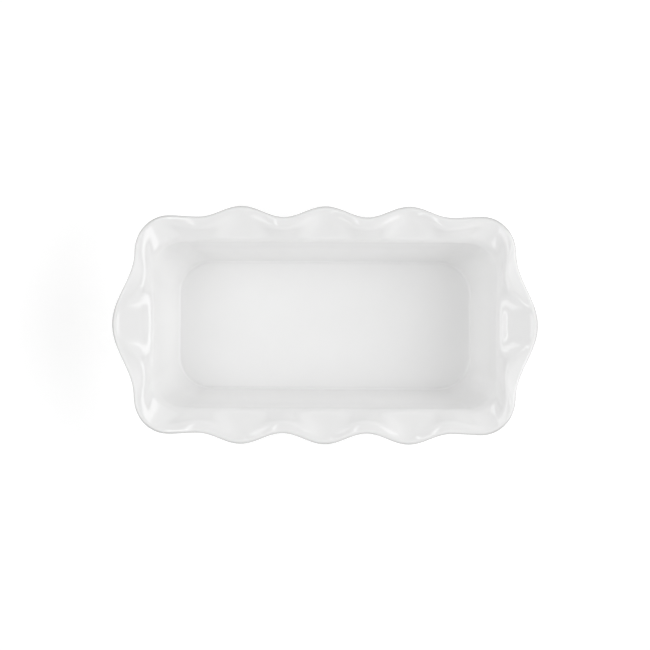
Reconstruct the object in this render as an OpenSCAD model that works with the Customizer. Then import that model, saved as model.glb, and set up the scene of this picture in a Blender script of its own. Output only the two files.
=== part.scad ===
// Ruffled rectangular serving dish in glazed stoneware.
// The clay body is drawn as its moulded regions, which meet face to face.
// Frame: +X along the length, +Z up, origin at the centre of the plane the foot stands on.

/* [Overall size] */
// Length over the two grips
overall_l = 314; // [313:1:320]
// Width over the side lobes
overall_w = 175.5; // [173:0.5:180]
// Height of the highest points of the rim
overall_h = 75; // [73:1:80]

/* [Well] */
// Length of the floor, taken to the sharp line where it would meet the end walls
floor_l = 228; // [224:1:229]
// Width of the floor, taken to the sharp line where it would meet the side walls
floor_w = 102; // [98:1:106]
// Plan radius of the floor's corners
floor_r = 27; // [24:1:30]
// How far the end walls lean out between the floor and the fold
end_lean = 16; // [14:0.5:16.5]
// How far the side walls lean out between the floor and the fold
side_lean = 13.5; // [12:0.5:15]
// Height of the fold, where the plain walls turn out into the ruffle
fold_z = 62; // [59:0.5:63]
// Plan radius of the fold's corners
fold_r = 24; // [22:1:26]
// Share of the lean that the walls have taken by their belly
belly_out = 0.56; // [0.5:0.02:0.62]
// Share of the height from floor to fold at which the belly is
belly_up = 0.48; // [0.42:0.02:0.5]

/* [Ruffled rim] */
// Number of lobes along each side
lobes = 3; // [1:1:3]
// Distance from one side lobe to the next
lobe_pitch = 62; // [56:1:63]
// How far a side lobe stands out from the valleys beside it
lobe_reach = 8.25; // [5:0.25:9]
// How far a side lobe dips below the valleys beside it
lobe_dip = 2.5; // [0:0.5:3.5]
// How far a grip stands out from the valleys beside it
grip_reach = 16.5; // [13:0.5:17]
// How far a grip dips below the valleys beside it
grip_dip = 3; // [0:0.5:4]
// How far the swell round each corner stands out
corner_reach = 1.25; // [0:0.25:3]
// How far the swell round each corner dips
corner_dip = 1.5; // [0:0.5:4]
// Plan radius of the rim's corners
rim_r = 24; // [21:1:27]

/* [Section of the ruffle, as shares of the way from the fold to the rim] */
// How far out a lobe's scoop turns up
lobe_scoop_out = 0.46; // [0.4:0.02:0.52]
// How high a lobe's scoop turns up
lobe_scoop_up = 0.4; // [0.36:0.02:0.46]
// How far out a lobe's knee is
lobe_knee_out = 0.86; // [0.8:0.02:0.9]
// How high a lobe's knee is
lobe_knee_up = 0.85; // [0.8:0.01:0.88]
// How far out the ridge between two side lobes has come at its middle
ridge_scoop_out = 0.3; // [0.26:0.02:0.36]
// How high the middle of the ridge between two side lobes is
ridge_scoop_up = 0.46; // [0.4:0.02:0.5]
// How far out the ridge between two side lobes curls over
ridge_knee_out = 0.58; // [0.54:0.02:0.64]
// How high the ridge between two side lobes curls over
ridge_knee_up = 0.88; // [0.84:0.01:0.92]
// How far out the ridge beside a grip has come at its middle
end_ridge_scoop_out = 0.18; // [0.14:0.02:0.22]
// How high the middle of the ridge beside a grip is
end_ridge_scoop_up = 0.5; // [0.44:0.02:0.54]
// How far out the ridge beside a grip curls over
end_ridge_knee_out = 0.36; // [0.34:0.02:0.4]
// How high the ridge beside a grip curls over
end_ridge_knee_up = 0.94; // [0.9:0.01:0.96]
// How far out the bowl of a grip turns up
bowl_scoop_out = 0.18; // [0.18:0.01:0.26]
// How high the bowl of a grip turns up
bowl_scoop_up = 0.05; // [0.04:0.01:0.1]
// How far out the knee of a grip's bowl is
bowl_knee_out = 0.9; // [0.84:0.01:0.92]
// How high the knee of a grip's bowl is
bowl_knee_up = 0.85; // [0.8:0.01:0.88]

/* [Grip bowls] */
// Distance from the middle of a grip to where its bowl starts to fade
bowl_flat = 1; // [0:1:6]
// Distance from the middle of a grip to where its bowl has gone
bowl_half = 32; // [26:1:36]
// Distance from the middle of a grip to the ridges beside it
ridge_at = 44; // [40:1:46]

/* [Clay thickness] */
// Thickness of the floor and the plain walls
body_t = 5; // [4.5:0.25:5.25]
// Thickness at the rounded lip
lip_t = 4.5; // [4:0.25:4.75]
// Distance from the floor's sharp corner to where its cove starts
cove_d = 3.5; // [3.25:0.25:5]
// Distance from the sharp belly of a wall to where its bend starts
belly_d = 14; // [8:1:15]
// Distance from the sharp fold to where its bend starts
fold_d = 2; // [1.75:0.25:2.5]
// Distance from the sharp fold to where its bend starts, at the middle of a grip
bowl_fold_d = 2.3; // [2.2:0.1:2.5]
// Distance from the sharp fold to where its bend starts, half way round a corner
corner_fold_d = 8; // [4:0.5:8]
// Distance from the sharp turn of a scoop to where its bend starts
scoop_d = 3.5; // [2:0.5:4]
// Distance from the sharp knee to where its bend starts
knee_d = 3.5; // [3:0.5:4]

/* [Foot] */
// Height of the bare foot under the floor
foot_h = 2.5; // [1.5:0.5:4]
// Width of the bare foot
foot_w = 5; // [4:0.5:6]

/* [Hidden] */

// Steps of the sweep along each stretch of the rim, and round each bend of the section.
LOBE_STEPS = 14;
GRIP_STEPS = 28;
ARC_STEPS = 9;
RUN_STEPS = 4;
COVE_STEPS = 5;
BEND_STEPS = 2;
LIP_STEPS = 8;

// A plan line is a rounded rectangle: [half length, half width, corner radius].
floor_line = [floor_l / 2, floor_w / 2, floor_r];
fold_line = [floor_l / 2 + end_lean, floor_w / 2 + side_lean, fold_r];
rim_line = [
    overall_l / 2 - grip_reach - lip_t / 2,
    overall_w / 2 - lobe_reach - lip_t / 2,
    rim_r
];
floor_mid_z = foot_h + body_t / 2;
rim_mid_z = overall_h - lip_t / 2;
side_half = lobes * lobe_pitch / 2;
least_run = 2;

// Length of the corner swell along the rim: round the arc, then along the straight run.
arc_l = rim_line.z * PI / 2;
run_l = rim_line.x - rim_line.z - side_half;
// How far before the arc the section of the corner starts to change.
end_half = rim_line.y - rim_line.z;
early = end_half - ridge_at;

// A station is a place round the quarter with +X and +Y: [stretch, share of the stretch].
// The end and side stretches run on through the quarter's edge, to a share of -1.
END = 0;
ARC = 1;
RUN = 2;
SIDE = 3;

// The ruffle's reach and dip at each kind of crest. At a valley both are 0.
GRIP = [grip_reach, grip_dip];
LOBE = [lobe_reach, lobe_dip];
CORNER = [corner_reach, corner_dip];

// The ruffle's section: [scoop out, scoop up, knee out, knee up, fold distance].
RIDGE = [ridge_scoop_out, ridge_scoop_up, ridge_knee_out, ridge_knee_up, fold_d];
END_RIDGE = [
    end_ridge_scoop_out, end_ridge_scoop_up, end_ridge_knee_out, end_ridge_knee_up, fold_d
];
SCOOP = [lobe_scoop_out, lobe_scoop_up, lobe_knee_out, lobe_knee_up, fold_d];
BOWL = [bowl_scoop_out, bowl_scoop_up, bowl_knee_out, bowl_knee_up, bowl_fold_d];
SOFT_SCOOP = [lobe_scoop_out, lobe_scoop_up, lobe_knee_out, lobe_knee_up, corner_fold_d];

function mix(a, b, t) = a + (b - a) * t;
function unit(v) = v / norm(v);
function hump(share) = (1 + cos(180 * share)) / 2;
function swell(along, before) =
    (1 - cos(360 * (before + along) / (before + arc_l + run_l))) / 2;
function clamped(share) = min(max(share, 0), 1);
function straight_half(line) = min(side_half, line.x - line.z - least_run);

// Plan point of a station on a plan line.
function at(line, st) =
    st[0] == END ? [line.x, st[1] * (line.y - line.z)] :
    st[0] == ARC ? [line.x - line.z, line.y - line.z] + line.z * outward(st) :
    st[0] == RUN ? [mix(line.x - line.z, straight_half(line), st[1]), line.y] :
    [st[1] * straight_half(line), line.y];

// Plan direction out of the dish at a station.
function outward(st) =
    st[0] == END ? [1, 0] :
    st[0] == ARC ? [cos(90 * st[1]), sin(90 * st[1])] :
    [0, 1];

// How far along the corner swell a station of the arc or the run is.
function along_corner(st) = st[0] == ARC ? st[1] * arc_l : arc_l + st[1] * run_l;

// The ruffle's reach and dip at a station.
function wave(st) =
    st[0] == END ? hump(st[1]) * GRIP :
    st[0] == SIDE ? hump(1 + lobes * (1 + st[1])) * LOBE :
    swell(along_corner(st), 0) * CORNER;

// The ruffle's section at a station.
function shape(st) =
    st[0] == END ? end_shape(abs(st[1]) * end_half) :
    st[0] == SIDE ? mix(RIDGE, SCOOP, hump(1 + lobes * (1 + st[1]))) :
    mix(
        along_corner(st) < (arc_l + run_l - early) / 2 ? END_RIDGE : RIDGE,
        SOFT_SCOOP,
        swell(along_corner(st), early)
    );

// The section at a distance from the middle of a grip: bowl, shoulder, ridge, and corner swell.
function end_shape(beside) =
    beside > ridge_at ? mix(END_RIDGE, SOFT_SCOOP, swell(beside - end_half, early)) :
    mix(
        mix(END_RIDGE, SCOOP, hump(beside / ridge_at)),
        BOWL,
        hump(clamped((beside - bowl_flat) / (bowl_half - bowl_flat)))
    );

// The middle of the clay runs through these sharp points at each station.
function floor_point(st) = [each at(floor_line, st), floor_mid_z];
function fold_point(st) = [each at(fold_line, st), fold_z];
function belly_point(st) = part_way(floor_point(st), fold_point(st), belly_out, belly_up);
function rim_point(st) =
    [each at(rim_line, st) + wave(st)[0] * outward(st), rim_mid_z - wave(st)[1]];

// The point that is a share of the way out and another share of the way up from a to b.
function part_way(a, b, out, up) = [mix(a.x, b.x, out), mix(a.y, b.y, out), mix(a.z, b.z, up)];

// A rounded bend about the sharp point b, which starts d before it on the way from a
// and ends d after it on the way to c, as pairs of [point, direction].
function bend(a, b, c, d, steps) =
    let (start = b + d * unit(a - b), end = b + d * unit(c - b))
    [
        for (i = [0:steps])
            let (t = i / steps, p = mix(start, b, t), q = mix(b, end, t))
            [mix(p, q, t), unit(q - p)]
    ];

// The direction square to a line of the section, towards the inside of the dish.
function square_to(direction, out) =
    let (along = direction.x * out.x + direction.y * out.y, v = unit([along, direction.z]))
    [-v.y * out.x, -v.y * out.y, v.x];

// Both faces of the clay along a list of [point, direction]: up the inside, down the outside.
function faces_of(mids, out, thick_low, thick_high) =
    let (
        last = len(mids) - 1,
        half = [for (i = [0:last]) mix(thick_low, thick_high, i / last) / 2],
        inside = [for (i = [0:last]) square_to(mids[i][1], out)]
    )
    [
        [for (i = [0:last]) mids[i][0] + half[i] * inside[i]],
        [for (i = [last:-1:0]) mids[i][0] - half[i] * inside[i]]
    ];

// Section of the plain wall with its cove and its belly, as one closed loop.
function wall_section(st) =
    let (
        out = outward(st),
        f = floor_point(st),
        w = belly_point(st),
        g = fold_point(st),
        s = part_way(g, rim_point(st), shape(st)[0], shape(st)[1]),
        up = unit(g - w),
        mids = [
            each bend(f - [out.x, out.y, 0], f, w, cove_d, COVE_STEPS),
            each bend(f, w, g, belly_d, BEND_STEPS),
            [g - least(shape(st)[4], [s - g]) * up, up]
        ],
        both = faces_of(mids, out, body_t, body_t)
    )
    [each both[0], each both[1]];

// A bend's distance, kept within half of the straight stretches beside it.
function least(distance, stretches) = min(distance, min([for (v = stretches) norm(v)]) / 2);

// Section of the ruffle: the fold, the scoop, the knee and the rounded lip, as one closed loop.
function ruffle_section(st) =
    let (
        out = outward(st),
        form = shape(st),
        g = fold_point(st),
        r = rim_point(st),
        s = part_way(g, r, form[0], form[1]),
        k = part_way(g, r, form[2], form[3]),
        up = unit(r - k),
        mids = [
            each bend(belly_point(st), g, s, least(form[4], [s - g]), BEND_STEPS),
            each bend(g, s, k, least(scoop_d, [s - g, k - s]), BEND_STEPS),
            each bend(s, k, r, least(knee_d, [k - s, r - k]), BEND_STEPS),
            [r, up]
        ],
        both = faces_of(mids, out, body_t, lip_t),
        inside = square_to(up, out),
        over = [out.x * inside.z, out.y * inside.z, -inside.x * out.x - inside.y * out.y],
        lip = [
            for (i = [1:LIP_STEPS - 1])
                let (a = 180 * i / LIP_STEPS)
                r + lip_t / 2 * (cos(a) * inside + sin(a) * over)
        ]
    )
    [each both[0], each lip, each both[1]];

// A closed solid through a list of sections that have the same number of points.
module through(sections) {
    n = len(sections);
    m = len(sections[0]);
    function id(i, j) = i * m + j % m;
    skin = [
        for (i = [0:n - 2], j = [0:m - 1])
            each [
                [id(i, j), id(i + 1, j), id(i + 1, j + 1)],
                [id(i, j), id(i + 1, j + 1), id(i, j + 1)]
            ]
    ];
    caps = [
        for (i = [0, n - 1], j = [0:ceil(m / 2) - 2])
            let (a = id(i, j), b = id(i, j + 1), c = id(i, m - 2 - j), d = id(i, m - 1 - j))
            each [
                for (f = c == b ? [[a, b, d]] : [[a, b, c], [a, c, d]])
                    i == 0 ? f : [f[2], f[1], f[0]]
            ]
    ];
    polyhedron([for (s = sections) each s], [each skin, each caps], convexity = 6);
}

// Stations of each stretch, all going round the dish the same way.
function steps_of(stretch, from, to, count) =
    [for (i = [0:count]) [stretch, mix(from, to, i / count)]];
end_stations = steps_of(END, -1, 1, GRIP_STEPS);
arc_stations = steps_of(ARC, 0, 1, ARC_STEPS);
corner_stations = [
    each arc_stations,
    for (i = [1:RUN_STEPS]) [RUN, i / RUN_STEPS]
];
side_stations = steps_of(SIDE, 1, -1, lobes * LOBE_STEPS);

glaze = [0.93, 0.93, 0.92];
bare_clay = [0.86, 0.83, 0.78];

// The flat slab inside the coves. Its outline is the start of every cove.
module floor_slab() {
    quarter = [for (st = arc_stations) at(floor_line, st) - cove_d * outward(st)];
    turned = [for (i = [ARC_STEPS:-1:0]) quarter[i]];
    outline = [
        each quarter,
        for (p = turned) [-p.x, p.y],
        for (p = quarter) [-p.x, -p.y],
        for (p = turned) [p.x, -p.y]
    ];
    color(glaze)
        translate([0, 0, foot_h])
            linear_extrude(body_t)
                polygon(outline);
}

// A rounded rectangle with true arcs for corners.
module rounded_rectangle(half_l, half_w, r) {
    square([2 * half_l, 2 * (half_w - r)], center = true);
    square([2 * (half_l - r), 2 * half_w], center = true);
    for (x = [-1, 1], y = [-1, 1])
        translate([x * (half_l - r), y * (half_w - r)])
            circle(r, $fn = 64);
}

// The low ring that the dish stands on, left bare of glaze.
module foot_ring() {
    half_l = floor_line.x - cove_d;
    half_w = floor_line.y - cove_d;
    r = floor_r - cove_d;
    color(bare_clay)
        linear_extrude(foot_h)
            difference() {
                rounded_rectangle(half_l, half_w, r);
                rounded_rectangle(half_l - foot_w, half_w - foot_w, r - foot_w);
            }
}

// The regions on the +X and +Y sides. The others are their mirror images.
module end_wall() color(glaze) through([for (st = end_stations) wall_section(st)]);
module side_wall() color(glaze) through([for (st = [[SIDE, 1], [SIDE, -1]]) wall_section(st)]);
module corner_wall() color(glaze) through([for (st = corner_stations) wall_section(st)]);
module grip() color(glaze) through([for (st = end_stations) ruffle_section(st)]);
module side_ruffle() color(glaze) through([for (st = side_stations) ruffle_section(st)]);
module corner_ruffle() color(glaze) through([for (st = corner_stations) ruffle_section(st)]);

module to_left() mirror([1, 0, 0]) children();
module to_front() mirror([0, 1, 0]) children();

floor_slab();
foot_ring();
to_front() side_wall();  // front_wall
side_wall();  // back_wall
to_left() end_wall();  // left_end_wall
end_wall();  // right_end_wall
to_front() to_left() corner_wall();  // front_left_corner
to_front() corner_wall();  // front_right_corner
to_left() corner_wall();  // back_left_corner
corner_wall();  // back_right_corner
to_front() side_ruffle();  // front_ruffle
side_ruffle();  // back_ruffle
to_left() grip();  // left_grip
grip();  // right_grip
to_front() to_left() corner_ruffle();  // front_left_ruffle
to_front() corner_ruffle();  // front_right_ruffle
to_left() corner_ruffle();  // back_left_ruffle
corner_ruffle();  // back_right_ruffle
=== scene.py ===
"""A deep white serving dish with a ruffled rim, seen from straight above on a white sweep.

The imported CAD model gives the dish's size and the places of its nodes. Each node is shown by
one finely meshed piece of the same name, swept by the same rules as the CAD, so that the
pieces meet edge to edge and the glaze runs over them unbroken. Lengths are in metres.
"""

import math

import bpy
import numpy as np
from mathutils import Matrix, Vector, noise


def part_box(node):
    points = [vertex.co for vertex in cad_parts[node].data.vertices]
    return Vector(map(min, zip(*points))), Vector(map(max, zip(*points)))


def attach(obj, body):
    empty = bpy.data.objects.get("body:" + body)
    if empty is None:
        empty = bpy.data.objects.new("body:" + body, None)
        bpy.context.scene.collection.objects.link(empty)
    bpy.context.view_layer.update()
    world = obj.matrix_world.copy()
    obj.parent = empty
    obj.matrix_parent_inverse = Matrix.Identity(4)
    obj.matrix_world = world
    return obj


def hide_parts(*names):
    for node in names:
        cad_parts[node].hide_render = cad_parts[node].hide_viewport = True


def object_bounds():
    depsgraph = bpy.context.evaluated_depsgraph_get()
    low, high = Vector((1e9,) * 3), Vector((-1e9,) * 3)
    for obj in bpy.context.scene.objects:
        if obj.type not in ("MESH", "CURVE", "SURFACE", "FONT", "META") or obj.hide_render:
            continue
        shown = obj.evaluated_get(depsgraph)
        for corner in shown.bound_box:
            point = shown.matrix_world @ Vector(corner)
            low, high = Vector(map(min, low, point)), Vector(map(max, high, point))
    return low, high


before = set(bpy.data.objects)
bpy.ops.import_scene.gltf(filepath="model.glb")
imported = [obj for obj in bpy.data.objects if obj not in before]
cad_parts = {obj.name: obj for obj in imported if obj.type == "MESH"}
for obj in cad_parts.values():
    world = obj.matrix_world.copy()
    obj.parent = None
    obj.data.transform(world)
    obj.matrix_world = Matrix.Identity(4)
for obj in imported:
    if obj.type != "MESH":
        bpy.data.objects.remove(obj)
cad_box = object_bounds()

MM = 0.001

# Places that the CAD nodes hold.
FLOOR_LOW, FLOOR_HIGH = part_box("floor_slab")
RIGHT_GRIP_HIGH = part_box("right_grip")[1]
BACK_RUFFLE_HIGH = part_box("back_ruffle")[1]
TOP = cad_box[1]

# The clay, as the CAD draws it.
BODY_T = FLOOR_HIGH.z - FLOOR_LOW.z
LIP_T = 4.5 * MM
COVE_D = 3.5 * MM
BELLY_D = 14 * MM
SCOOP_D = 3.5 * MM
KNEE_D = 3.5 * MM
BELLY_OUT = 0.56
BELLY_UP = 0.48
FOLD_Z = 62 * MM
END_LEAN = 16 * MM
SIDE_LEAN = 13.5 * MM
FLOOR_R = 27 * MM
FOLD_R = 24 * MM
LEAST_RUN = 2 * MM
FOOT_W = 5 * MM
LOBES = 3

# The ruffle's reach and dip at each kind of crest.
GRIP = np.array([16.5, 3]) * MM
LOBE = np.array([8.25, 2.5]) * MM
CORNER = np.array([1.25, 1.5]) * MM
# Its section: scoop out and up and knee out and up, as shares of the way from fold to rim, and
# half the length of the fold's bend.
END_RIDGE = np.array([0.18, 0.5, 0.36, 0.94, 2 * MM])
RIDGE = np.array([0.3, 0.46, 0.58, 0.88, 2 * MM])
SCOOP = np.array([0.46, 0.4, 0.86, 0.85, 2 * MM])
BOWL = np.array([0.18, 0.05, 0.9, 0.85, 2.3 * MM])
SOFT_SCOOP = np.array([0.46, 0.4, 0.86, 0.85, 8 * MM])
# Half lengths along the end: of the bowl's flat middle, of the bowl, and out to the ridges.
BOWL_FLAT = 1 * MM
BOWL_HALF = 32 * MM
RIDGE_AT = 44 * MM

# Plan lines are rounded rectangles: half length, half width, corner radius.
RIM_HALF_L = TOP.x - GRIP[0] - LIP_T / 2
RIM_HALF_W = TOP.y - LOBE[0] - LIP_T / 2
RIM_LINE = np.array([RIM_HALF_L, RIM_HALF_W, RIM_HALF_W - RIGHT_GRIP_HIGH.y])
FLOOR_LINE = np.array([FLOOR_HIGH.x + COVE_D, FLOOR_HIGH.y + COVE_D, FLOOR_R])
FOLD_LINE = np.array([FLOOR_LINE[0] + END_LEAN, FLOOR_LINE[1] + SIDE_LEAN, FOLD_R])
SIDE_HALF = BACK_RUFFLE_HIGH.x
FLOOR_MID_Z = (FLOOR_LOW.z + FLOOR_HIGH.z) / 2
RIM_MID_Z = TOP.z - LIP_T / 2

# Lengths along the rim: round a corner's arc, from the end of a grip's stretch to the first side
# lobe, from the middle of a grip to the end of its stretch, and from its ridge to that end.
ARC_L = RIM_LINE[2] * math.pi / 2
CORNER_L = ARC_L + RIM_LINE[0] - RIM_LINE[2] - SIDE_HALF
END_HALF = RIM_LINE[1] - RIM_LINE[2]
PAST_RIDGE = END_HALF - RIDGE_AT

# Mesh steps along the rim, chosen so that they are all about 1.8 mm long.
GRIP_STEPS = 60
ARC_STEPS = 20
RUN_STEPS = 12
SIDE_STEPS = 36 * LOBES
# Mesh steps up the section, and round the lip.
FLAT_STEPS = 4
WALL_STEPS = 56
RUFFLE_STEPS = 40
LIP_STEPS = 16
FLOOR_RINGS = 14
# Steps round a bend, before the section is divided evenly.
BEND_STEPS = 16
# How far the flat of the floor is swept with the walls, inside the coves.
FLAT_D = 5 * MM
# How far the moulded shape is softened, in steps up the section and along the rim.
SOFTEN_UP = 0.9
SOFTEN_ALONG = 1

# The slight waviness of slip-cast ware: the size and the depth of its broad and its fine waves.
# The shift keeps the fine waves from following the broad ones.
BROAD_WAVE = (38 * MM, 0.12 * MM)
FINE_WAVE = (11 * MM, 0.02 * MM)
FINE_SHIFT = (7, 3, 5)

# The glaze's painted tone is 0 where the lip is painted darkest, 1 where the cove is painted
# lightest and half way where it is plain. Round the lip, where the glaze thins, it is painted shade;
# in the cove, where it pools, it is a painted highlight that also lifts the cove's shade. Each
# spreads over so many rows of the section, and the highlight is brightest so many rows up the cove.
UNPAINTED_TONE = 0.5
LIP_SHADE_ROWS = 3
COVE_HIGHLIGHT_ROWS = 1.5
COVE_HIGHLIGHT_AT = 3

# The bare foot's edges, how far it is let into the floor, and how unevenly it is worn.
FOOT_EDGE = 0.9 * MM
FOOT_EDGE_STEPS = 5
FOOT_LET_IN = 0.3 * MM
FOOT_WEAR = 0.04
FOOT_WEAR_SIZE = 6 * MM

# Colours, in linear light.
GLAZE = (0.935, 0.935, 0.933)
# The lip, where the glaze thins, painted much darker as painted shade for its dark edge.
LIP_PAINTED_SHADE = (0.55, 0.55, 0.545)
# The cove, where the glaze pools, painted whiter as a painted highlight that also lifts its shade.
COVE_PAINTED_HIGHLIGHT = (0.99, 0.99, 0.99)
CLAY = (0.7, 0.66, 0.59)
CLAY_DARK = (0.56, 0.51, 0.44)
CLAY_PALE = (0.78, 0.75, 0.69)
# How strongly the glaze reflects, and the least and most of its clouding and its roughness.
GLAZE_IOR = 1.7
CLOUDING = (0.985, 1)
GLAZE_ROUGHNESS = (0.07, 0.13)
# The depth of the ripple in the glaze, and of the grain in the bare clay.
RIPPLE_DEPTH = 0.03 * MM
GRAIN_DEPTH = 0.08 * MM
# The white floor: its shade, the share of it that the darker patches have, its glow and its width.
SWEEP = 0.9
SWEEP_MOTTLE = 0.99
SWEEP_GLOW = 0.25
SWEEP_SIZE = 12

# The surroundings: their radiance by the sine of the elevation, and how far their top leans left.
SKY = (
    (0, 0.05),
    (0.25, 0.6),
    (0.32, 0.85),
    (0.62, 0.8),
    (0.75, 0.3),
    (0.9, 0.2),
    (0.98, 0.5),
    (0.995, 1),
    (1, 1.15),
)
SKY_TILT = math.radians(4)
# How far the lights stand from the dish, and each one's side, elevation in degrees, width, height
# and radiance.
LIGHT_AWAY = 1.3
LIGHTS = {
    "right_softbox": (1, 36, 1.8, 1, 1.37),
    "left_softbox": (-1, 48, 1.8, 0.5, 1.4),
    "left_strip": (-1, 73, 1.8, 0.1, 2.5),
}

# The camera: its sensor in millimetres, how high it is over the rim, how wide a stretch it frames
# there, the place that it is over, and its turn.
SENSOR = 36
CAMERA_RISE = 1.3
FRAME_WIDTH = 477.4 * MM
CAMERA_OVER = (0, 0.2 * MM)
CAMERA_TURN = math.radians(0.3)


def mix(a, b, t):
    """What lies the share t of the way from a to b."""
    return a + (b - a) * t


def unit(v):
    """Vectors brought to length 1."""
    return v / np.linalg.norm(v, axis=-1, keepdims=True)


def hump(share):
    """A smooth hump: 1 at 0, and 0 at a share of 1 either way."""
    return (1 + math.cos(math.pi * share)) / 2


def swell(along, early=0):
    """The corner swell: 0 at the end of the grip, 1 half way round, 0 at the first side lobe.
    The swell may start early, before the end of the grip."""
    return (1 - math.cos(2 * math.pi * (early + along) / (early + CORNER_L))) / 2


class Station:
    """A place round the rim: its stretch, its share of that stretch, and its quarter, which is
    the signs of its x and y."""

    def __init__(self, stretch, share, quarter):
        self.stretch = stretch
        self.share = share
        self.quarter = np.array(quarter)

    def outward(self):
        """The plan direction out of the dish here."""
        angle = {"end": 0, "arc": self.share * math.pi / 2}.get(self.stretch, math.pi / 2)
        return self.quarter * (math.cos(angle), math.sin(angle))

    def at(self, line):
        """The plan point of this station on a plan line."""
        x, y, r = line
        if self.stretch == "end":
            return self.quarter * (x, self.share * (y - r))
        if self.stretch == "arc":
            return self.quarter * (x - r, y - r) + r * self.outward()
        half = min(SIDE_HALF, x - r - LEAST_RUN)
        if self.stretch == "run":
            return self.quarter * (mix(x - r, half, self.share), y)
        return self.quarter * (self.share * half, y)

    def wave(self):
        """The ruffle's reach and dip here, and its section."""
        if self.stretch == "end":
            return GRIP * hump(self.share), grip_shape(abs(self.share) * END_HALF)
        if self.stretch == "side":
            crest = hump(1 + LOBES * (1 + self.share))
            return LOBE * crest, mix(RIDGE, SCOOP, crest)
        along = self.share * ARC_L
        if self.stretch == "run":
            along = ARC_L + self.share * (CORNER_L - ARC_L)
        ridge = END_RIDGE if PAST_RIDGE + along < (PAST_RIDGE + CORNER_L) / 2 else RIDGE
        return CORNER * swell(along), mix(ridge, SOFT_SCOOP, swell(along, PAST_RIDGE))


def grip_shape(beside):
    """The ruffle's section at a distance from the middle of a grip: its bowl, then its shoulder,
    its ridge and the start of the corner swell."""
    if beside > RIDGE_AT:
        return mix(END_RIDGE, SOFT_SCOOP, swell(beside - END_HALF, PAST_RIDGE))
    bowl = hump(np.clip((beside - BOWL_FLAT) / (BOWL_HALF - BOWL_FLAT), 0, 1))
    return mix(mix(END_RIDGE, SCOOP, hump(beside / RIDGE_AT)), BOWL, bowl)


def stretch(kind, start, end, steps, quarter):
    """Stations from start up to, but not at, end."""
    return [Station(kind, mix(start, end, i / steps), quarter) for i in range(steps)]


def all_stations():
    """The stations once round the dish, and the range of them that each region spans."""
    found = []
    spans = {}

    def add(name, *parts):
        first = len(found)
        for part in parts:
            found.extend(part)
        spans[name] = (first, len(found))

    def corner(quarter, towards_side):
        if towards_side:
            return [
                stretch("arc", 0, 1, ARC_STEPS, quarter),
                stretch("run", 0, 1, RUN_STEPS, quarter),
            ]
        return [
            stretch("run", 1, 0, RUN_STEPS, quarter),
            stretch("arc", 1, 0, ARC_STEPS, quarter),
        ]

    add("right", stretch("end", -1, 1, GRIP_STEPS, (1, 1)))
    add("back_right", *corner((1, 1), True))
    add("back", stretch("side", 1, -1, SIDE_STEPS, (1, 1)))
    add("back_left", *corner((-1, 1), False))
    add("left", stretch("end", 1, -1, GRIP_STEPS, (-1, 1)))
    add("front_left", *corner((-1, -1), True))
    add("front", stretch("side", 1, -1, SIDE_STEPS, (-1, -1)))
    add("front_right", *corner((1, -1), False))
    return found, spans


def resampled(path, steps):
    """A polyline with evenly spaced points, from its first point to its last."""
    along = np.concatenate([[0], np.cumsum(np.linalg.norm(np.diff(path, axis=0), axis=1))])
    wanted = np.linspace(0, along[-1], steps + 1)
    return np.stack([np.interp(wanted, along, path[:, k]) for k in range(3)], axis=1)


def bend(a, b, c, d):
    """A rounded bend about the sharp point b, on the way from a to c, from d before b to d past
    it."""
    start = b + d * unit(a - b)
    end = b + d * unit(c - b)
    t = np.linspace(0, 1, BEND_STEPS + 1)[:, None]
    return mix(mix(start, b, t), mix(b, end, t), t)


def soften(points, amount, wrap):
    """Blurs points along their first axis by a Gaussian of that many steps. The axis either wraps
    round or runs straight on past its ends."""
    reach = math.ceil(3 * amount)
    offsets = np.arange(-reach, reach + 1)
    weights = np.exp(-((offsets / amount) ** 2) / 2)
    weights /= weights.sum()
    if wrap:
        return sum(w * np.roll(points, k, axis=0) for k, w in zip(offsets, weights))
    before = points[0] + (points[0] - points[1]) * np.arange(reach, 0, -1)[:, None]
    after = points[-1] + (points[-1] - points[-2]) * np.arange(1, reach + 1)[:, None]
    padded = np.concatenate([before, points, after])
    n = len(points)
    return sum(w * padded[reach + k : reach + k + n] for k, w in zip(offsets, weights))


def mid_line(st, out):
    """The middle of the clay at a station, from the flat of the floor up to the rim."""
    (reach, dip), (scoop_out, scoop_up, knee_out, knee_up, fold_d) = st.wave()
    f = np.array([*st.at(FLOOR_LINE), FLOOR_MID_Z])
    g = np.array([*st.at(FOLD_LINE), FOLD_Z])
    r = np.array([*(st.at(RIM_LINE) + reach * st.outward()), RIM_MID_Z - dip])
    w = mix(f, g, np.array([BELLY_OUT, BELLY_OUT, BELLY_UP]))
    s = mix(g, r, np.array([scoop_out, scoop_out, scoop_up]))
    k = mix(g, r, np.array([knee_out, knee_out, knee_up]))
    low, middle, high = (np.linalg.norm(b - a) / 2 for a, b in ((g, s), (s, k), (k, r)))
    fold_d = min(fold_d, low)
    scoop_d = min(SCOOP_D, low, middle)
    knee_d = min(KNEE_D, middle, high)
    wall_top = g + fold_d * unit(w - g)
    flat = np.array([f - (COVE_D + FLAT_D) * out, f - COVE_D * out])
    wall = np.concatenate([bend(f - out, f, w, COVE_D), bend(f, w, g, BELLY_D), [wall_top]])
    ruffle = np.concatenate(
        [bend(w, g, s, fold_d), bend(g, s, k, scoop_d), bend(s, k, r, knee_d), [r]]
    )
    mids = np.concatenate(
        [
            resampled(flat, FLAT_STEPS)[:-1],
            resampled(wall, WALL_STEPS)[:-1],
            resampled(ruffle, RUFFLE_STEPS),
        ]
    )
    return soften(mids, SOFTEN_UP, wrap=False)


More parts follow.
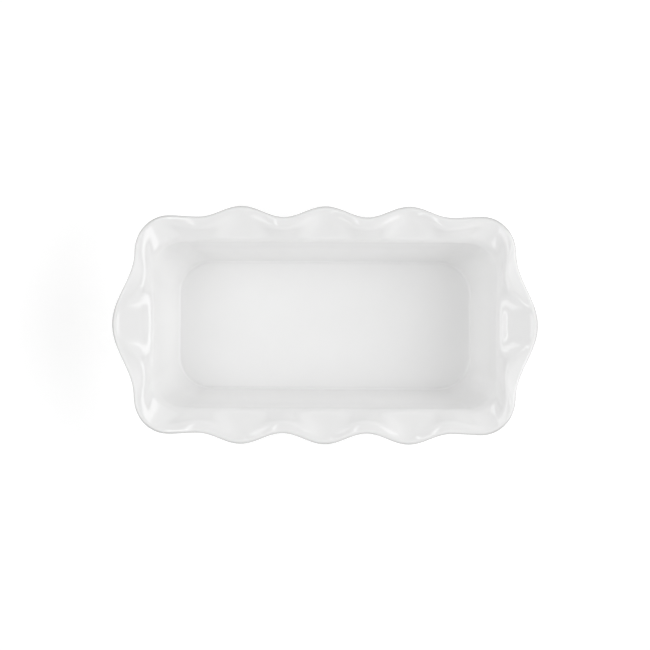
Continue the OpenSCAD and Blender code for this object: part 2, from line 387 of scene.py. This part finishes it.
def section(st):
    """The whole section at a station: up the inside, round the lip and down the outside."""
    out = np.array([*st.outward(), 0])
    mids = mid_line(st, out)
    direction = unit(np.gradient(mids, axis=0))
    along_out = direction @ out
    inside = unit(np.outer(-direction[:, 2], out) + np.outer(along_out, (0, 0, 1)))
    thick = np.full(len(mids), BODY_T)
    thick[-RUFFLE_STEPS - 1 :] = np.linspace(BODY_T, LIP_T, RUFFLE_STEPS + 1)
    half = thick[:, None] / 2
    over = unit(out * inside[-1, 2] - np.array([0, 0, inside[-1] @ out]))
    angles = np.linspace(0, math.pi, LIP_STEPS + 1)[1:-1, None]
    lip = mids[-1] + LIP_T / 2 * (np.cos(angles) * inside[-1] + np.sin(angles) * over)
    return np.concatenate([mids + half * inside, lip, (mids - half * inside)[::-1]])


# Rows of the section, counted up the inside. Row j on the inside faces row LAST - j outside.
ROW_COVE = FLAT_STEPS
ROW_FOLD = ROW_COVE + WALL_STEPS
ROW_LIP = ROW_FOLD + RUFFLE_STEPS
LAST = 2 * ROW_LIP + LIP_STEPS


def unevenness(p):
    """How far the fired clay stands proud at a point."""
    broad_size, broad_depth = BROAD_WAVE
    fine_size, fine_depth = FINE_WAVE
    broad = noise.noise(Vector(p) / broad_size)
    fine = noise.noise(Vector(p) / fine_size + Vector(FINE_SHIFT))
    return broad_depth * broad + fine_depth * fine


def dish_skin():
    """The dish's whole skin: its points by station and row, and the normal at each."""
    stations, spans = all_stations()
    points = np.array([section(st) for st in stations])
    points = soften(points, SOFTEN_ALONG, wrap=True)
    normals = grid_normals(points)
    lift = np.array([unevenness(p) for p in points.reshape(-1, 3)]).reshape(points.shape[:2])
    points = points + normals * lift[:, :, None]
    return points, grid_normals(points), spans


def grid_normals(points):
    """Normals out of the clay, from the slopes of a grid that closes on itself in its first axis."""
    along = np.roll(points, -1, axis=0) - np.roll(points, 1, axis=0)
    up = np.gradient(points, axis=1)
    return unit(np.cross(up, along))


def add_object(name, mesh, slot_name, node):
    """A finished piece in its place in the frame."""
    piece = bpy.data.objects.new(name, mesh)
    bpy.context.scene.collection.objects.link(piece)
    mesh.materials.append(MATERIALS[slot_name])
    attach(piece, "root")
    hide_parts(node)


def new_mesh(name, points, faces, shade_light_mask):
    """A smooth-shaded mesh that carries at each point the tone of its glaze's painted shade and
    painted highlight.
    """
    mesh = bpy.data.meshes.new(name)
    mesh.from_pydata([tuple(p) for p in points], [], faces)
    mesh.polygons.foreach_set("use_smooth", [True] * len(mesh.polygons))
    # The tone of the glaze's painted shade and painted highlight, read by its material.
    attribute = mesh.attributes.new("painted_shade_and_highlight", "FLOAT", "POINT")
    attribute.data.foreach_set("value", np.asarray(shade_light_mask, dtype=np.float32))
    mesh.update()
    return mesh


class Patchwork:
    """Faces over a set of points. Skin takes the dish's own normals, so that neighbouring
    pieces shade as one surface, and a joint face between two pieces is flat."""

    def __init__(self, points, normals, shade_light_mask):
        self.points = points
        self.normals = normals
        self.shade_light_mask = shade_light_mask
        self.faces = []
        self.loop_normals = []

    def skin(self, face):
        """Adds a face that shades with the skin's normals."""
        self.faces.append(face)
        self.loop_normals += [self.normals[i] for i in face]

    def joint(self, face):
        """Adds a flat face."""
        a, b, c = (self.points[i] for i in face[:3])
        self.faces.append(face)
        self.loop_normals += [unit(np.cross(b - a, c - a))] * len(face)

    def finish(self, node):
        """Makes the glazed piece that replaces a node."""
        mesh = new_mesh(node, self.points, self.faces, self.shade_light_mask)
        mesh.normals_split_custom_set([tuple(n) for n in self.loop_normals])
        add_object(node + "_glazed", mesh, "white_glaze", node)


def skin_painted_tone(shape):
    """The glaze's painted tone by station and row: painted shade on the lip, where the glaze thins,
    and a painted highlight in the cove, where it pools.
    """
    rows = np.arange(shape[1])
    climbed = np.minimum(rows, LAST - rows)
    # Painted shade round the lip.
    lip_shade = np.exp(-(((rows - LAST / 2) / LIP_SHADE_ROWS) ** 2))
    # A painted highlight a few rows up the cove.
    cove_highlight = np.exp(-(((climbed - ROW_COVE - COVE_HIGHLIGHT_AT) / COVE_HIGHLIGHT_ROWS) ** 2))
    shade_light_mask = UNPAINTED_TONE * (1 - lip_shade + cove_highlight)
    return np.tile(shade_light_mask, (shape[0], 1))


def swept_piece(node, span, rows):
    """The piece for a wall or ruffle node: its rows of the skin, swept along its span, with its
    two cut ends closed by strips across the clay."""
    columns = np.arange(span[0], span[1] + 1) % len(SKIN)
    m = len(rows)
    patch = Patchwork(
        SKIN[columns][:, rows].reshape(-1, 3),
        SKIN_NORMALS[columns][:, rows].reshape(-1, 3),
        SKIN_PAINTED_TONE[columns][:, rows].reshape(-1),
    )
    for i in range(len(columns) - 1):
        for j in range(m):
            k = (j + 1) % m
            face = (i * m + j, i * m + k, (i + 1) * m + k, (i + 1) * m + j)
            add = patch.skin if abs(rows[j] - rows[k]) == 1 else patch.joint
            add(face)
    for i in (0, len(columns) - 1):
        for j in range((m - 1) // 2):
            ring = (j, j + 1, m - 2 - j, m - 1 - j)
            face = tuple(i * m + k for k in dict.fromkeys(ring))
            patch.joint(face[::-1] if i == 0 else face)
    patch.finish(node)


def floor_face(edge, edge_normals, up):
    """One face of the floor as rings of points and normals, from its edge rings to its middle."""
    shares = 1 - np.arange(1, FLOOR_RINGS) / FLOOR_RINGS
    rings = edge[-1] * np.array([1, 1, 0]) * shares[:, None, None]
    lift = np.array([unevenness(p) for p in rings.reshape(-1, 3)]).reshape(rings.shape[:2])
    level = FLOOR_HIGH.z if up > 0 else FLOOR_LOW.z
    rings[:, :, 2] = level + up * lift
    flat = np.broadcast_to(np.array([0, 0, up]), rings.shape)
    return np.concatenate([edge, rings]), np.concatenate([edge_normals, flat])


def floor_piece(node):
    """The floor slab, whose edge rings are the flats that the skin sweeps inside the coves. Its
    points are the rings of the top, then those of the underside, then the two middles."""
    inner = list(range(ROW_COVE, -1, -1))
    outer = [LAST - j for j in inner]
    top, top_normals = floor_face(
        SKIN[:, inner].swapaxes(0, 1), SKIN_NORMALS[:, inner].swapaxes(0, 1), 1
    )
    under, under_normals = floor_face(
        SKIN[:, outer].swapaxes(0, 1), SKIN_NORMALS[:, outer].swapaxes(0, 1), -1
    )
    n = len(SKIN)
    rings = len(top)
    middles = np.array([[0, 0, FLOOR_HIGH.z], [0, 0, FLOOR_LOW.z]])
    points = np.concatenate([top.reshape(-1, 3), under.reshape(-1, 3), middles])
    normals = np.concatenate(
        [top_normals.reshape(-1, 3), under_normals.reshape(-1, 3), [[0, 0, 1], [0, 0, -1]]]
    )
    patch = Patchwork(points, normals, np.full(len(points), UNPAINTED_TONE))
    under_start = rings * n
    for i in range(n):
        k = (i + 1) % n
        for ring in range(rings - 1):
            a, b = ring * n, (ring + 1) * n
            patch.skin((a + i, a + k, b + k, b + i))
            patch.skin(tuple(under_start + p for p in (b + i, b + k, a + k, a + i)))
        last = (rings - 1) * n
        patch.skin((last + i, last + k, 2 * under_start))
        patch.skin((under_start + last + k, under_start + last + i, 2 * under_start + 1))
        patch.joint((i, under_start + i, under_start + k, k))
    patch.finish(node)


def foot_piece(node):
    """The bare foot: a ring with worn round edges, let a little way into the floor above it."""
    top = FLOOR_LOW.z + FOOT_LET_IN
    profile = [(0, top), (-FOOT_W, top)]
    turns = np.linspace(0, math.pi / 2, FOOT_EDGE_STEPS + 1)
    for a in turns:
        profile.append((-FOOT_W + FOOT_EDGE * (1 - math.cos(a)), FOOT_EDGE * (1 - math.sin(a))))
    for a in turns[::-1]:
        profile.append((-FOOT_EDGE * (1 - math.cos(a)), FOOT_EDGE * (1 - math.sin(a))))
    points = []
    for st in all_stations()[0]:
        edge = st.at(FLOOR_LINE) - COVE_D * st.outward()
        for out, z in profile:
            wear = 1 + FOOT_WEAR * noise.noise(Vector((edge[0], edge[1], out)) / FOOT_WEAR_SIZE)
            points.append((*(edge + out * wear * st.outward()), z))
    m = len(profile)
    n = len(points) // m
    faces = [
        (i * m + j, (i + 1) % n * m + j, (i + 1) % n * m + (j + 1) % m, i * m + (j + 1) % m)
        for i in range(n)
        for j in range(m)
    ]
    add_object(node + "_bare", new_mesh(node, points, faces, np.zeros(n * m)), "bare_clay", node)


def node_maker(tree):
    """A function that adds a node to a tree and sets its inputs by name."""

    def node(kind, **inputs):
        made = tree.nodes.new(kind)
        for key, value in inputs.items():
            made.inputs[key].default_value = value
        return made

    return node


def new_material(name):
    """A node material with its shader, a function that adds nodes, and one that links them."""
    material = bpy.data.materials.new(name)
    material.use_nodes = True
    tree = material.node_tree
    return material, tree.nodes["Principled BSDF"], node_maker(tree), tree.links.new


def ramp(node, *stops):
    """A colour ramp whose stops are pairs of a place and a grey or a colour."""
    made = node("ShaderNodeValToRGB")
    elements = made.color_ramp.elements
    while len(elements) < len(stops):
        elements.new(0.5)
    for element, (place, colour) in zip(elements, stops):
        element.position = place
        element.color = (*colour, 1) if isinstance(colour, tuple) else (colour,) * 3 + (1,)
    return made


def white_glaze():
    """Glossy white glaze, painted grey on the lip as painted shade where it thins, and painted
    whiter in the cove as a painted highlight where it pools.
    """
    material, shader, node, link = new_material("white_glaze")
    place = node("ShaderNodeTexCoord").outputs["Object"]
    # Reads the tone of the painted shade on the lip and the painted highlight in the cove.
    shade_light_mask = node("ShaderNodeAttribute")
    shade_light_mask.attribute_name = "painted_shade_and_highlight"
    # The base colour: painted shade on the lip, plain glaze, and a painted highlight in the cove.
    tone = ramp(node, (0, LIP_PAINTED_SHADE), (UNPAINTED_TONE, GLAZE), (1, COVE_PAINTED_HIGHLIGHT))
    link(shade_light_mask.outputs["Fac"], tone.inputs["Fac"])
    cloud = node("ShaderNodeTexNoise", Scale=26, Detail=3)
    link(place, cloud.inputs["Vector"])
    clouding = ramp(node, (0.3, CLOUDING[0]), (0.7, CLOUDING[1]))
    link(cloud.outputs["Fac"], clouding.inputs["Fac"])
    tint = node("ShaderNodeMix")
    tint.data_type = "RGBA"
    tint.blend_type = "MULTIPLY"
    tint.inputs["Factor"].default_value = 1
    link(tone.outputs["Color"], tint.inputs["A"])
    link(clouding.outputs["Color"], tint.inputs["B"])
    link(tint.outputs["Result"], shader.inputs["Base Color"])

    breath = node("ShaderNodeTexNoise", Scale=70, Detail=4)
    link(place, breath.inputs["Vector"])
    gloss = ramp(node, (0.35, GLAZE_ROUGHNESS[0]), (0.75, GLAZE_ROUGHNESS[1]))
    link(breath.outputs["Fac"], gloss.inputs["Fac"])
    link(gloss.outputs["Color"], shader.inputs["Roughness"])

    peel = node("ShaderNodeTexNoise", Scale=420, Detail=2)
    link(place, peel.inputs["Vector"])
    ripple = node("ShaderNodeBump", Strength=0.25, Distance=RIPPLE_DEPTH)
    link(peel.outputs["Fac"], ripple.inputs["Height"])
    link(ripple.outputs["Normal"], shader.inputs["Normal"])
    shader.inputs["IOR"].default_value = GLAZE_IOR
    return material


def bare_clay():
    """Unglazed fired clay: matte, slightly grainy, with darker worn patches."""
    material, shader, node, link = new_material("bare_clay")
    place = node("ShaderNodeTexCoord").outputs["Object"]
    patches = node("ShaderNodeTexNoise", Scale=120, Detail=6, Roughness=0.65)
    link(place, patches.inputs["Vector"])
    tone = ramp(node, (0.3, CLAY_DARK), (0.5, CLAY), (0.8, CLAY_PALE))
    link(patches.outputs["Fac"], tone.inputs["Fac"])
    link(tone.outputs["Color"], shader.inputs["Base Color"])
    grain = node("ShaderNodeTexNoise", Scale=2600, Detail=4)
    link(place, grain.inputs["Vector"])
    tooth = node("ShaderNodeBump", Strength=0.6, Distance=GRAIN_DEPTH)
    link(grain.outputs["Fac"], tooth.inputs["Height"])
    link(tooth.outputs["Normal"], shader.inputs["Normal"])
    shader.inputs["Roughness"].default_value = 0.85
    return material


def sweep():
    """The white floor that the dish stands on."""
    material, shader, node, link = new_material("white_sweep")
    place = node("ShaderNodeTexCoord").outputs["Object"]
    paper = node("ShaderNodeTexNoise", Scale=3, Detail=2)
    link(place, paper.inputs["Vector"])
    tone = ramp(node, (0.3, SWEEP * SWEEP_MOTTLE), (0.7, SWEEP))
    link(paper.outputs["Fac"], tone.inputs["Fac"])
    link(tone.outputs["Color"], shader.inputs["Base Color"])
    shader.inputs["Roughness"].default_value = 0.9
    shader.inputs["Specular IOR Level"].default_value = 0.1
    shader.inputs["Emission Color"].default_value = (1, 1, 1, 1)
    shader.inputs["Emission Strength"].default_value = SWEEP_GLOW
    size = SWEEP_SIZE / 2
    corners = [(x * size, y * size, 0) for x, y in ((-1, -1), (1, -1), (1, 1), (-1, 1))]
    mesh = bpy.data.meshes.new("sweep")
    mesh.from_pydata(corners, [], [(0, 1, 2, 3)])
    mesh.materials.append(material)
    floor = bpy.data.objects.new("sweep", mesh)
    bpy.context.scene.collection.objects.link(floor)


def aim(thing, place, target, roll=0):
    """Puts a light or the camera at a place, looking at a target."""
    thing.location = place
    turn = (Vector(target) - Vector(place)).to_track_quat("-Z", "Y")
    thing.rotation_euler = (turn.to_matrix() @ Matrix.Rotation(roll, 3, "Z")).to_euler()
    bpy.context.scene.collection.objects.link(thing)


def softbox(name, side, elevation, width, height, radiance):
    """A soft area light that faces the dish."""
    a = math.radians(elevation)
    place = (side * LIGHT_AWAY * math.cos(a), 0, TOP.z / 2 + LIGHT_AWAY * math.sin(a))
    light = bpy.data.lights.new(name, "AREA")
    light.shape = "RECTANGLE"
    light.size = width
    light.size_y = height
    light.energy = radiance * math.pi * width * height
    box = bpy.data.objects.new(name, light)
    box.visible_camera = False
    aim(box, place, (0, 0, TOP.z / 2))


def sky():
    """Pale surroundings whose brightness goes by elevation, with their top leaning to the left."""
    world = bpy.data.worlds.new("studio")
    world.use_nodes = True
    tree = world.node_tree
    node = node_maker(tree)
    direction = node("ShaderNodeTexCoord")
    turn = node("ShaderNodeVectorRotate", Angle=SKY_TILT)
    turn.rotation_type = "Y_AXIS"
    parts = node("ShaderNodeSeparateXYZ")
    tone = ramp(node, *SKY)
    tree.links.new(direction.outputs["Generated"], turn.inputs["Vector"])
    tree.links.new(turn.outputs["Vector"], parts.inputs["Vector"])
    tree.links.new(parts.outputs["Z"], tone.inputs["Fac"])
    tree.links.new(tone.outputs["Color"], tree.nodes["Background"].inputs["Color"])
    bpy.context.scene.world = world


def studio():
    """The surroundings, a softbox on each side, a strip light high on the left, and the floor."""
    sky()
    for name, spec in LIGHTS.items():
        softbox(name, *spec)
    sweep()


def camera():
    """Straight above the dish, turned a hair so that its right end sits lower in the frame."""
    data = bpy.data.cameras.new("camera")
    data.sensor_width = SENSOR
    data.lens = SENSOR * CAMERA_RISE / FRAME_WIDTH
    data.clip_start = 0.01
    data.clip_end = 50
    eye = bpy.data.objects.new("camera", data)
    aim(eye, (*CAMERA_OVER, TOP.z + CAMERA_RISE), (*CAMERA_OVER, 0), CAMERA_TURN)
    bpy.context.scene.camera = eye
    bpy.context.scene.view_settings.view_transform = "Standard"


camera()
studio()
MATERIALS = {"white_glaze": white_glaze(), "bare_clay": bare_clay()}
SKIN, SKIN_NORMALS, SPANS = dish_skin()
# The glaze's painted shade and painted highlight, by station and row.
SKIN_PAINTED_TONE = skin_painted_tone(SKIN.shape)

WALL_ROWS = list(range(ROW_COVE, ROW_FOLD + 1))
WALL_ROWS += [LAST - j for j in reversed(WALL_ROWS)]
RUFFLE_ROWS = list(range(ROW_FOLD, LAST - ROW_FOLD + 1))
NODES_OF = {
    "right": ("right_end_wall", "right_grip"),
    "back": ("back_wall", "back_ruffle"),
    "left": ("left_end_wall", "left_grip"),
    "front": ("front_wall", "front_ruffle"),
}
for where, span in SPANS.items():
    wall, ruffle = NODES_OF.get(where, (where + "_corner", where + "_ruffle"))
    swept_piece(wall, span, WALL_ROWS)
    swept_piece(ruffle, span, RUFFLE_ROWS)
floor_piece("floor_slab")
foot_piece("foot_ring")
